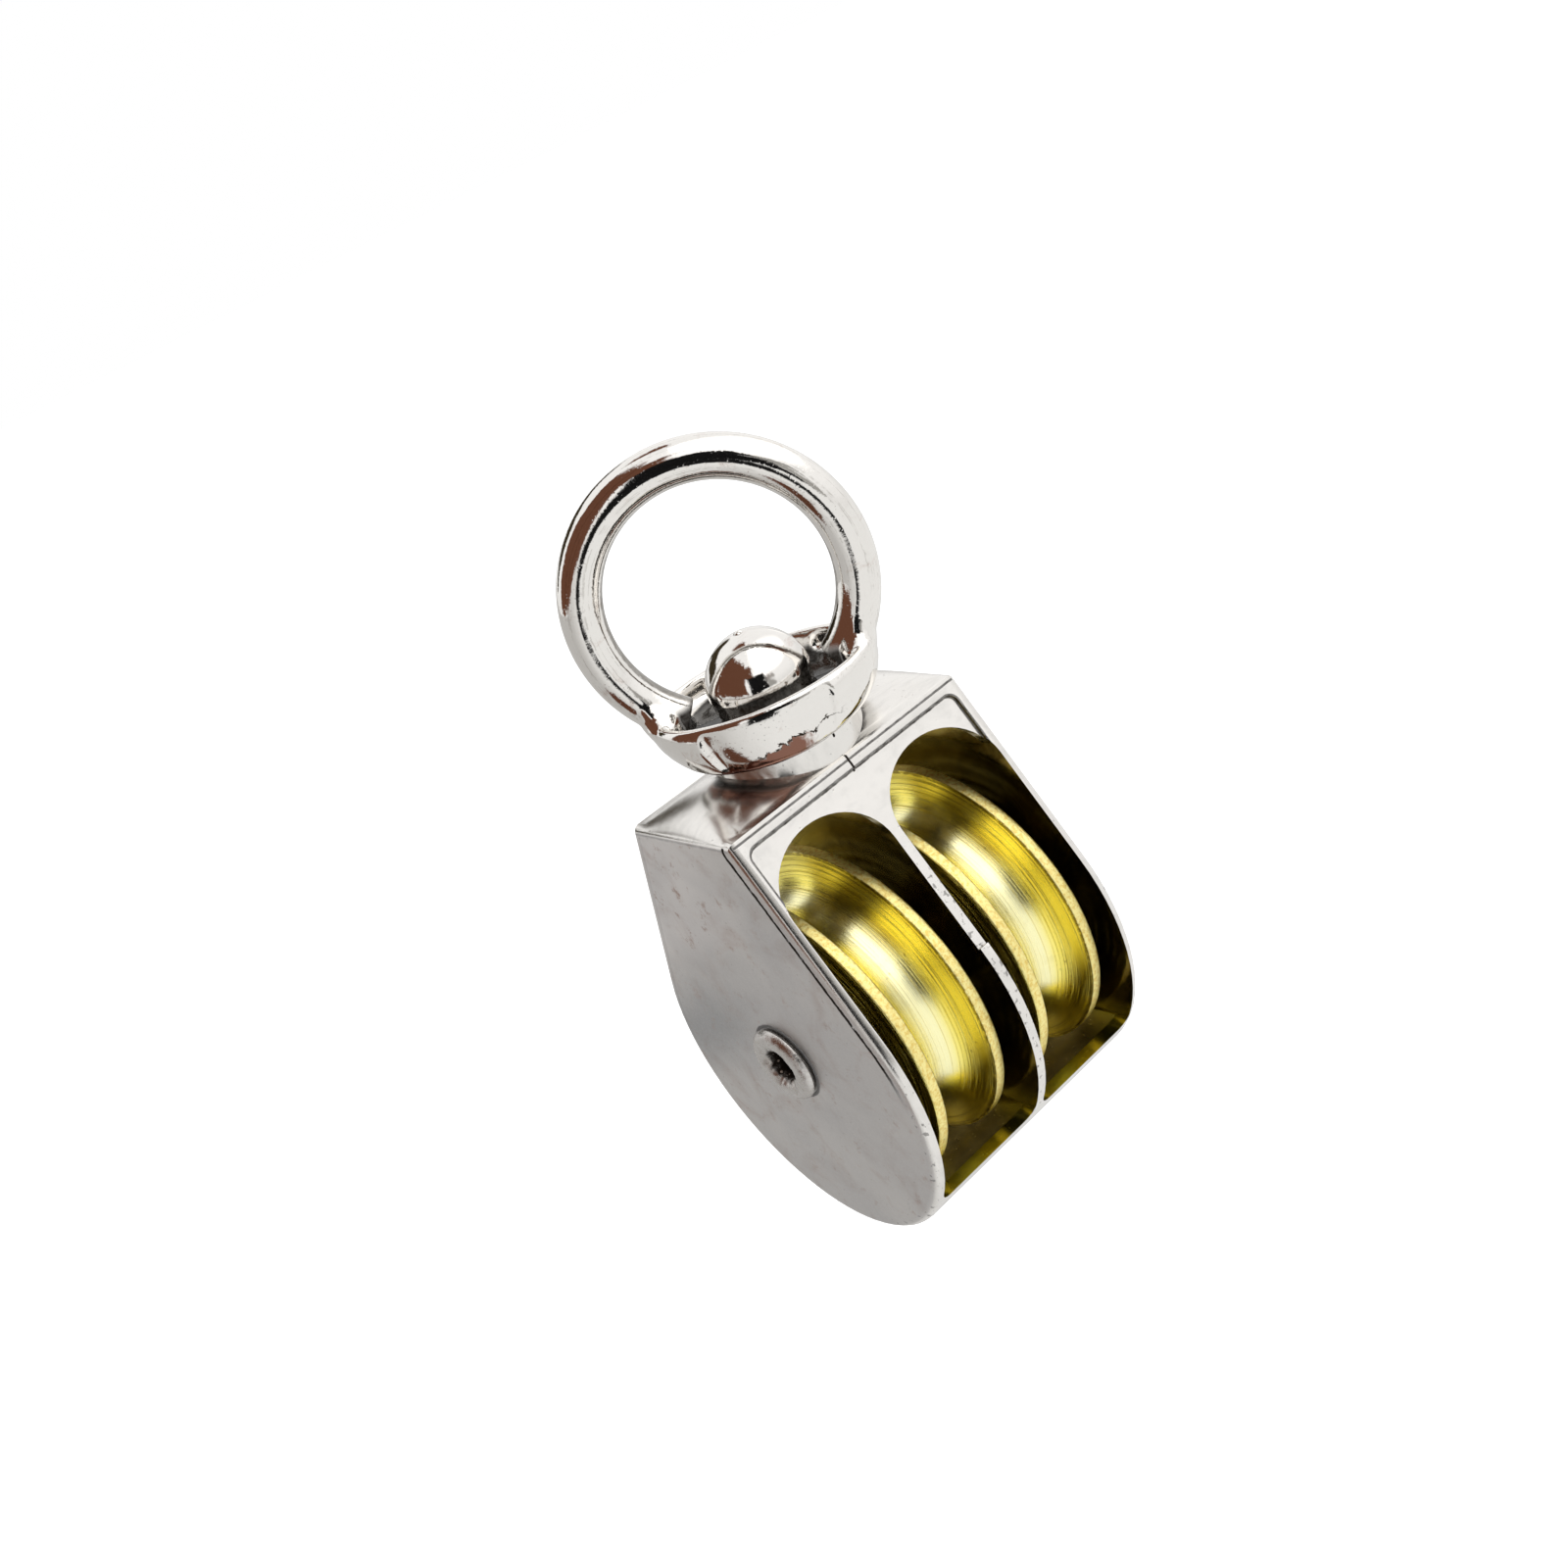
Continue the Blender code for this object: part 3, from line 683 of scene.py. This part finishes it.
def floor_paint():
    """Pale floor; the camera sees it white, polished metal sees its grey far parts."""
    f = Finish("floor_paint", roughness=0.9)
    f.set("Base Color", paint(0.9, 0.9, 0.9))
    f.set("Specular IOR Level", 0.0)
    p = f.place()
    x, y, _ = f.axes(p)
    far = flat_distance(x, y)
    ragged = f.speckle(p, 11.0, 4.0, 0.6, 0.6) - 0.5
    away = far.ease(0.0, 0.06)
    light = (facing(x, y, far, -62.0) + ragged * 0.3).ease(-0.75, 0.45) * away + (1.0 - away) * 0.6
    tone = f.tint(light, paint(0.60, 0.59, 0.575), paint(1.02, 1.02, 1.01))
    across, along = (x + 0.19) / 0.055, (y + 0.005) / 0.07
    patch = 1.0 - ((across * across + along * along) ** 0.5 + ragged * 0.9).ease(0.85, 1.05)
    tone = f.tint(patch, tone, paint(0.12, 0.05, 0.03))
    wedge = (facing(x, y, far, -136.0) + ragged * 0.05).ease(0.972, 0.985)
    tone = f.tint(wedge * (far + ragged * 0.08).ease(0.37, 0.41), tone, paint(0.01, 0.01, 0.01))
    mirrored = f.make("ShaderNodeEmission", {}, {"Color": tone, "Strength": 1.0})
    glow = f.make("ShaderNodeEmission", {}, {"Color": WHITE, "Strength": 0.4})
    glossy, camera = f.rays()
    surface = Signal(f, f.shader.outputs[0])
    lit = f.make("ShaderNodeAddShader", {}, (surface, glow))
    seen = f.make("ShaderNodeMixShader", {}, (camera, surface, lit))
    last = f.make("ShaderNodeMixShader", {}, (glossy, seen, mirrored))
    f.tree.links.new(last.socket, f.out.inputs[0])
    return f.material


def studio_room():
    """Soft white room; polished metal also sees its bright window and its darker far walls."""
    world = bpy.data.worlds.new("studio_room")
    world.use_nodes = True
    book = NodeBook(world.node_tree)
    ray = book.make("ShaderNodeTexCoord", {}, (), "Generated")
    x, y, z = book.axes(ray)
    flat = flat_distance(x, y)
    tone = book.tint(z.ease(-0.1, 0.25), paint(0.95, 0.945, 0.935), paint(1.14, 1.135, 1.13))
    window = facing(x, y, flat, -58.0).ease(0.15, 0.6) * z.ease(0.34, 0.5)
    tone = book.tint(window, tone, paint(1.75, 1.73, 1.70))
    ragged = book.speckle(ray, 3.0, 5.0, 0.62, 0.8) - 0.5
    rise = z + ragged * 0.22
    for bearing, wide, lowest, highest, colour in ROOM_WALLS:
        edge = math.cos(math.radians(wide))
        lower, upper = math.sin(math.radians(lowest)), math.sin(math.radians(highest))
        between = (facing(x, y, flat, bearing) + ragged * 0.16).ease(edge - 0.015, edge + 0.015)
        mask = between * rise.ease(lower - 0.02, lower + 0.02)
        tone = book.tint(mask * (1.0 - rise.ease(upper - 0.02, upper + 0.02)), tone, colour)
    glossy, camera = book.rays()
    tone = book.tint(glossy, paint(0.72, 0.72, 0.72), tone)
    tone = book.tint(camera, tone, WHITE)
    light = book.make("ShaderNodeBackground", {}, {"Color": tone, "Strength": 1.0})
    out = book.tree.nodes.new("ShaderNodeOutputWorld")
    book.tree.links.new(light.socket, out.inputs[0])
    return world


# Meshes
def mesh_object(name, bm, body, sharp):
    """Object of a finished bmesh, riding on a body, with edges sharper than an angle in degrees kept."""
    bmesh.ops.remove_doubles(bm, verts=bm.verts, dist=1e-7)
    bmesh.ops.recalc_face_normals(bm, faces=bm.faces)
    mesh = bpy.data.meshes.new(name)
    bm.to_mesh(mesh)
    bm.free()
    mesh.shade_smooth()
    mesh.set_sharp_from_angle(angle=math.radians(sharp))
    obj = bpy.data.objects.new(name, mesh)
    bpy.context.scene.collection.objects.link(obj)
    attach(obj, body)
    return obj


def settle(obj):
    """Keep the mesh as its modifiers leave it."""
    graph = bpy.context.evaluated_depsgraph_get()
    mesh = bpy.data.meshes.new_from_object(obj.evaluated_get(graph), depsgraph=graph)
    old, name = obj.data, obj.data.name
    obj.modifiers.clear()
    obj.data = mesh
    bpy.data.meshes.remove(old)
    mesh.name = name


def circle(steps):
    """Angles evenly round a full turn."""
    return [2.0 * math.pi * i / steps for i in range(steps)]


def skin(bm, rings, closed=False):
    """Faces between rings of equal length; the ends are capped unless closed."""
    rows = [[bm.verts.new(p) for p in ring] for ring in rings]
    count = len(rings[0])
    for low, high in list(zip(rows, rows[1:])) + ([(rows[-1], rows[0])] if closed else []):
        for i in range(count):
            j = (i + 1) % count
            bm.faces.new((low[i], low[j], high[j], high[i]))
    if not closed:
        bm.faces.new(rows[0][::-1])
        bm.faces.new(rows[-1])


def spin(bm, profile, place, steps):
    """Turn a profile of (distance, radius) points; place maps (distance, radius, angle) to a point."""
    rows = []
    for dist, radius in profile:
        angles = circle(steps) if radius > 0.0 else (0.0,)
        rows.append([bm.verts.new(place(dist, radius, a)) for a in angles])
    for low, high in zip(rows, rows[1:]):
        for i in range(steps):
            j = (i + 1) % steps
            corners = [low[i % len(low)], low[j % len(low)], high[j % len(high)], high[i % len(high)]]
            bm.faces.new(list(dict.fromkeys(corners)))


def faces_inwards(face):
    """Whether a face of the housing lines a bay or an arch."""
    c, n = face.calc_center_median(), face.normal
    up = c.z - AXLE_Z
    if up > BAY_TOP:
        return False
    if abs(n.x) > 0.85:
        return abs(c.x) < BAY_HALF
    if abs(c.x) > BAY_HALF - 0.0001:
        return False
    if n.y * c.y < -0.0004:
        return True
    if up > ARCH_LOW and n.z < -0.25:
        return True
    return up < TIE_HIGH and n.z > 0.3


def ring_wire():
    """Sections of the ring's round wire, from one end in the drum round to the other."""
    centre = Vector((0.0, 0.0, AXLE_Z + RING_CENTRE))
    first = math.asin((RING_END - RING_CENTRE) / RING_RADIUS)
    sections = []
    for i in range(RING_STEPS + 1):
        a = first + (math.pi - 2.0 * first) * i / RING_STEPS
        out = EYE_ACROSS * math.cos(a) + Vector((0.0, 0.0, math.sin(a)))
        middle = centre + out * RING_RADIUS
        sections.append([middle + out * WIRE_RADIUS * math.cos(t) + EYE_ASIDE * WIRE_RADIUS * math.sin(t)
                         for t in circle(WIRE_STEPS)])
    return sections


def ring_root(end):
    """Sections of the thickening where the ring runs into the drum; end is -1 or 1."""
    return [[EYE_ACROSS * (end * centre + u * math.cos(t)) + EYE_ASIDE * (v * math.sin(t))
             + Vector((0.0, 0.0, AXLE_Z + height)) for t in circle(WIRE_STEPS)]
            for height, centre, u, v in RING_ROOT]


def drum_wall(low, top, floor):
    """The drum's outline as (height, inset) points, from its foot over its rim to the dish's floor."""
    foot = [(low, 0.0010), (low + 0.0001, 0.0007), (low + 0.0003, 0.0004), (low + 0.0006, 0.0001)]
    side = [(low + 0.0011, 0.0), (low + 0.0018, 0.0), (low + 0.0026, 0.0), (low + 0.0036, 0.0),
            (top - 0.002, 0.0), (top - 0.0012, 0.0), (top - 0.0006, 0.00002)]
    rim = [(top - 0.0003, 0.0001), (top - 0.0001, 0.00028), (top, 0.0005), (top - 0.0001, 0.0009),
           (top - 0.0006, 0.0012)]
    dish = [(floor + 0.0008, 0.0017), (floor + 0.0002, 0.0023), (floor, 0.0032)]
    return foot + side + rim + dish


def drum_swell(end):
    """How far the drum stands out at the ring's roots; end is 1 at a root and 0 halfway between them."""
    dip = min(1.0, max(0.0, (end - 0.36) / 0.18))
    lump = min(1.0, max(0.0, (end - 0.53) / 0.05))
    return lump * (0.00065 - 0.0002 * max(0.0, end - 0.56) / 0.44) - 0.00025 * dip


def drum_sections():
    """Closed sections of the oval drum, one for each angle round the pin."""
    low, top, floor = AXLE_Z + DRUM_LOW, AXLE_Z + DRUM_TOP, AXLE_Z + DISH_FLOOR
    sections = []
    for a in circle(DRUM_STEPS):
        swell = drum_swell(abs(math.cos(a)))
        bore = EYE_ACROSS * (DRUM_BORE * math.cos(a)) + EYE_ASIDE * (DRUM_BORE * math.sin(a))
        section = [bore + Vector((0.0, 0.0, low))]
        for height, inset in drum_wall(low, top, floor):
            fall = max(0.0, 1.0 - (height - low) / (top - 0.0012 - low))
            here = swell * max(0.0, min(1.0, (height - low) / 0.0012, (top - 0.0003 - height) / 0.0014))
            u = (DRUM_LONG + here - inset - DRUM_TAPER * fall ** 2) * math.cos(a)
            v = (DRUM_WIDE + here - inset) * math.sin(a)
            section.append(EYE_ACROSS * u + EYE_ASIDE * v + Vector((0.0, 0.0, height)))
        section.append(bore + Vector((0.0, 0.0, floor)))
        sections.append(section)
    return sections


def pin_profile():
    """The pin as (height, radius) points: headed tail, shank, dome and the nub on its tip."""
    roof, under, foot = AXLE_Z + PIN_ROOF, AXLE_Z + PIN_UNDER, AXLE_Z + PIN_FOOT
    ball = (PIN_DOME ** 2 + PIN_RISE ** 2) / (2.0 * PIN_RISE)
    centre = foot + PIN_RISE - ball
    profile = [(roof - 0.0017, 0.0), (roof - 0.0017, 0.0034), (roof - 0.0013, 0.0039), (roof - 0.0003, 0.004),
               (roof - 0.0003, PIN_SHANK), (under, PIN_SHANK), (under, PIN_DOME - 0.0005),
               (under + 0.0002, PIN_DOME - 0.0002), (foot - 0.0008, PIN_DOME - 0.0001),
               (foot - 0.0002, PIN_DOME)]
    edge = math.asin((foot - centre) / ball)
    for i in range(DOME_STEPS):
        a = edge + (math.pi / 2.0 - edge) * i / DOME_STEPS
        profile.append((centre + ball * math.sin(a), ball * math.cos(a)))
    tip = centre + ball
    return profile + [(tip - 0.00001, 0.00052), (tip + 0.00012, 0.00042), (tip + 0.0002, 0.0003),
                      (tip + 0.00025, 0.00015), (tip + 0.00025, 0.0)]


def pin_point(height, radius, a):
    """A point of the pin; the dome carries a fine ridge in the ring's plane."""
    if height > AXLE_Z + PIN_FOOT and radius > PIN_NUB:
        off = math.sin(a - EYE_TURN) * radius
        radius += 0.00006 * math.exp(-(off / 0.00022) ** 2)
    return Vector((radius * math.cos(a), radius * math.sin(a), height))


def rivet_profile():
    """The rivet as (x, radius) points: hollow rolled left end, shank and low round right head."""
    face, head = RIVET_FACE, RIVET_HEAD
    hollow = [(-face + 0.0026, 0.0), (-face + 0.0024, 0.0010), (-face + 0.0012, 0.0016),
              (-face + 0.0002, 0.0018)]
    rolled = [(-face - 0.0005, 0.0020), (-face - 0.0009, 0.0024), (-face - 0.00115, 0.0029),
              (-face - 0.0012, 0.0033), (-face - 0.0011, 0.0038), (-face - 0.0009, 0.0042),
              (-face - 0.0006, head - 0.0001), (-face - 0.0003, head), (-face, head - 0.0002)]
    shank = [(-face, RIVET_SHANK), (face, RIVET_SHANK)]
    plain = [(face, head - 0.0001), (face + 0.0003, head), (face + 0.0006, head - 0.0003),
             (face + 0.0009, head - 0.0010), (face + 0.0011, head - 0.0018), (face + 0.0013, 0.0012),
             (face + 0.0013, 0.0)]
    return hollow + rolled + shank + plain


def rivet_point(dist, radius, a):
    """A point of the rivet; the rolled end is torn and uneven, and stays inside the frame's box."""
    out = Vector((0.0, math.cos(a), math.sin(a)))
    point = Vector((dist, radius * math.cos(a), AXLE_Z + radius * math.sin(a)))
    if dist < -RIVET_FACE + 0.0027 and 0.0009 < radius < 0.0044:
        torn = noise.noise(point * 1300.0) * 0.00022 * (1.0 if radius < 0.0027 else 0.35)
        point.x += torn
        point += out * torn * 0.9
    point.x = max(point.x, -RIVET_FACE - 0.0012)
    return point


def sheave_profile(hub, rim, steps):
    """Half the sheave's hub and flange, its round groove, and the same half again, as (x, radius) points."""
    flange, groove = SHEAVE_FLANGE, GROOVE_HALF
    half = [(-hub, SHEAVE_BORE), (-hub, 0.0054), (-hub + 0.0002, 0.0056), (-flange - 0.0001, 0.0062),
            (-flange, 0.0066), (-flange, rim - 0.00035), (-flange + 0.0001, rim - 0.0001),
            (-flange + 0.0003, rim), (-groove - 0.0002, rim), (-groove - 0.00005, rim - 0.00006)]
    hollow = []
    for i in range(1, steps):
        t = -groove * math.cos(math.pi * i / steps)
        fall = math.sqrt(max(0.0, 1.0 - (t / groove) ** 2)) ** 0.9
        hollow.append((t, rim - GROOVE_DEEP * fall))
    return half + hollow + [(-dist, radius) for dist, radius in reversed(half)]


def sheave_point(middle, rim, side, dist, radius, a):
    """A point of the sheave that stands at x = middle, with its rims rubbed slightly uneven."""
    point = Vector((middle + dist, radius * math.cos(a), AXLE_Z + radius * math.sin(a)))
    if radius > rim - 0.0004:
        rub = noise.noise(point * 900.0 + Vector((side, 0.0, 0.0))) * 0.00005
        point -= Vector((0.0, math.cos(a), math.sin(a))) * abs(rub)
    return point


# Operators
class HousingLooks(bpy.types.Operator):
    """Round the casting's edges and plate it, with darker hollow sides"""
    bl_idname = "pulley.housing"
    bl_label = "Plated housing"

    def execute(self, context):
        sizes, colours = context.scene.pulley_sizes, context.scene.pulley_finishes
        bm = bmesh.new()
        bm.from_mesh(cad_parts["housing"].data)
        bmesh.ops.remove_doubles(bm, verts=bm.verts, dist=0.00001)
        bmesh.ops.dissolve_limit(bm, angle_limit=math.radians(0.7), verts=bm.verts, edges=bm.edges)
        bm.normal_update()
        for face in bm.faces:
            face.material_index = 1 if faces_inwards(face) else 0
        obj = mesh_object("housing_casting", bm, "housing", 30.0)
        obj.data.materials.append(outer_plate(colours))
        obj.data.materials.append(hollow_plate_shaded(colours))
        edge = obj.modifiers.new("casting_edge", "BEVEL")
        edge.width = sizes.edge_round
        edge.segments = 3
        edge.limit_method = "ANGLE"
        edge.angle_limit = math.radians(32.0)
        edge.use_clamp_overlap = True
        edge.harden_normals = True
        settle(obj)
        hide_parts("housing")
        return {"FINISHED"}


class EyeLooks(bpy.types.Operator):
    """Build the ring and its dished drum as one smooth casting"""
    bl_idname = "pulley.eye"
    bl_label = "Swivel eye"

    def execute(self, context):
        sizes, colours = context.scene.pulley_sizes, context.scene.pulley_finishes
        bm = bmesh.new()
        skin(bm, ring_wire())
        for end in (-1.0, 1.0):
            skin(bm, ring_root(end))
        skin(bm, drum_sections(), closed=True)
        obj = mesh_object("eye_casting", bm, "eye", 60.0)
        blend = obj.modifiers.new("one_casting", "REMESH")
        blend.mode = "VOXEL"
        blend.voxel_size = sizes.eye_voxel
        blend.use_smooth_shade = True
        even = obj.modifiers.new("polish", "SMOOTH")
        even.factor, even.iterations = 0.5, 7
        settle(obj)
        obj.data.materials.clear()
        obj.data.materials.append(bright_nickel("eye_nickel", colours, eye=True))
        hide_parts("swivel_eye")
        return {"FINISHED"}


class PinLooks(bpy.types.Operator):
    """Turn the domed pin head with its sprue nub"""
    bl_idname = "pulley.pin"
    bl_label = "Swivel pin"

    def execute(self, context):
        bm = bmesh.new()
        spin(bm, pin_profile(), pin_point, PIN_STEPS)
        obj = mesh_object("pin_head", bm, "housing", 40.0)
        obj.data.materials.append(bright_nickel("pin_nickel", context.scene.pulley_finishes))
        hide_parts("swivel_pin")
        return {"FINISHED"}


class RivetLooks(bpy.types.Operator):
    """Roll the axle rivet over at its left end and round its right end"""
    bl_idname = "pulley.rivet"
    bl_label = "Axle rivet"

    def execute(self, context):
        bm = bmesh.new()
        spin(bm, rivet_profile(), rivet_point, RIVET_STEPS)
        obj = mesh_object("axle_rivet_turned", bm, "housing", 45.0)
        obj.data.materials.append(rivet_steel(context.scene.pulley_finishes))
        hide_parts("axle_rivet")
        return {"FINISHED"}


class SheaveLooks(bpy.types.Operator):
    """Turn the two grooved sheaves with their hubs and rubbed rims"""
    bl_idname = "pulley.sheaves"
    bl_label = "Turned sheaves"

    def execute(self, context):
        sizes, colours = context.scene.pulley_sizes, context.scene.pulley_finishes
        for side, word in ((-1.0, "left"), (1.0, "right")):
            node = word + "_sheave"
            low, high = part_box(node)
            middle, hub, rim = (low.x + high.x) / 2.0, (high.x - low.x) / 2.0, (high.z - low.z) / 2.0
            profile = sheave_profile(hub, rim, sizes.groove_steps)
            bm = bmesh.new()
            skin(bm, [[sheave_point(middle, rim, side, dist, radius, a) for dist, radius in profile]
                      for a in circle(sizes.turn_steps)], closed=True)
            obj = mesh_object(word + "_sheave_turned", bm, node, 40.0)
            obj.data.materials.append(turned_brass(word + "_brass", colours, middle))
            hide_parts(node)
        return {"FINISHED"}


class StageLooks(bpy.types.Operator):
    """Set the pale floor, the soft room, the lamps and the camera"""
    bl_idname = "pulley.stage"
    bl_label = "Studio"

    def execute(self, context):
        scene = context.scene
        self.floor(scene)
        scene.world = studio_room()
        for name, place, size, power in LAMPS:
            self.lamp(scene, name, place, size, power)
        self.camera(scene)
        scene.view_settings.view_transform = "Standard"
        return {"FINISHED"}

    def floor(self, scene):
        """A square floor below the hanging pulley."""
        bm = bmesh.new()
        level = CAD_BOX[0].z - scene.pulley_sizes.floor_drop
        for x, y in ((-1.0, -1.0), (1.0, -1.0), (1.0, 1.0), (-1.0, 1.0)):
            bm.verts.new((x * FLOOR_HALF, y * FLOOR_HALF, level))
        bm.faces.new(bm.verts)
        mesh = bpy.data.meshes.new("studio_floor")
        bm.to_mesh(mesh)
        bm.free()
        mesh.materials.append(floor_paint())
        floor = bpy.data.objects.new("studio_floor", mesh)
        scene.collection.objects.link(floor)

    def lamp(self, scene, name, place, size, power):
        """A round soft lamp; its light reaches the piece, and mirrors see the bright room in its place."""
        light = bpy.data.lights.new(name, "AREA")
        light.shape, light.size, light.energy = "DISK", size, power
        obj = bpy.data.objects.new(name, light)
        obj.location = place
        obj.rotation_euler = (LAMP_AIM - Vector(place)).to_track_quat("-Z", "Y").to_euler()
        obj.visible_glossy = False
        scene.collection.objects.link(obj)

    def camera(self, scene):
        """A camera at the photograph's place, with its axes made square to each other."""
        lens = bpy.data.cameras.new("photo_camera")
        lens.lens, lens.sensor_width = CAMERA_LENS, CAMERA_SENSOR
        lens.clip_start = 0.01
        camera = bpy.data.objects.new("photo_camera", lens)
        scene.collection.objects.link(camera)
        lean = CAMERA_RIGHT.dot(CAMERA_AHEAD) / CAMERA_AHEAD.length_squared
        right = (CAMERA_RIGHT - CAMERA_AHEAD * lean).normalized()
        ahead = CAMERA_AHEAD.normalized()
        turn = Matrix((right, right.cross(ahead), -ahead)).transposed()
        camera.matrix_world = Matrix.Translation(CAMERA_PLACE) @ turn.to_4x4()
        scene.camera = camera


class PulleyPanel(bpy.types.Panel):
    """Sizes, finishes and pieces of the pulley"""
    bl_idname = "VIEW3D_PT_pulley"
    bl_label = "Double pulley"
    bl_space_type = "VIEW_3D"
    bl_region_type = "UI"
    bl_category = "Pulley"

    def draw(self, context):
        for group in (context.scene.pulley_sizes, context.scene.pulley_finishes):
            for name in group.__annotations__:
                self.layout.prop(group, name)
        for piece in PIECES:
            self.layout.operator(piece.bl_idname)


PIECES = (HousingLooks, EyeLooks, PinLooks, RivetLooks, SheaveLooks, StageLooks)
CLASSES = (PulleySizes, PulleyFinishes) + PIECES + (PulleyPanel,)


def register():
    for cls in CLASSES:
        bpy.utils.register_class(cls)
    bpy.types.Scene.pulley_sizes = bpy.props.PointerProperty(type=PulleySizes)
    bpy.types.Scene.pulley_finishes = bpy.props.PointerProperty(type=PulleyFinishes)


def unregister():
    del bpy.types.Scene.pulley_sizes
    del bpy.types.Scene.pulley_finishes
    for cls in reversed(CLASSES):
        bpy.utils.unregister_class(cls)


def main():
    """Register the add-on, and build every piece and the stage."""
    register()
    bpy.ops.pulley.housing()
    bpy.ops.pulley.eye()
    bpy.ops.pulley.pin()
    bpy.ops.pulley.rivet()
    bpy.ops.pulley.sheaves()
    bpy.ops.pulley.stage()


if __name__ == "__main__":
    main()
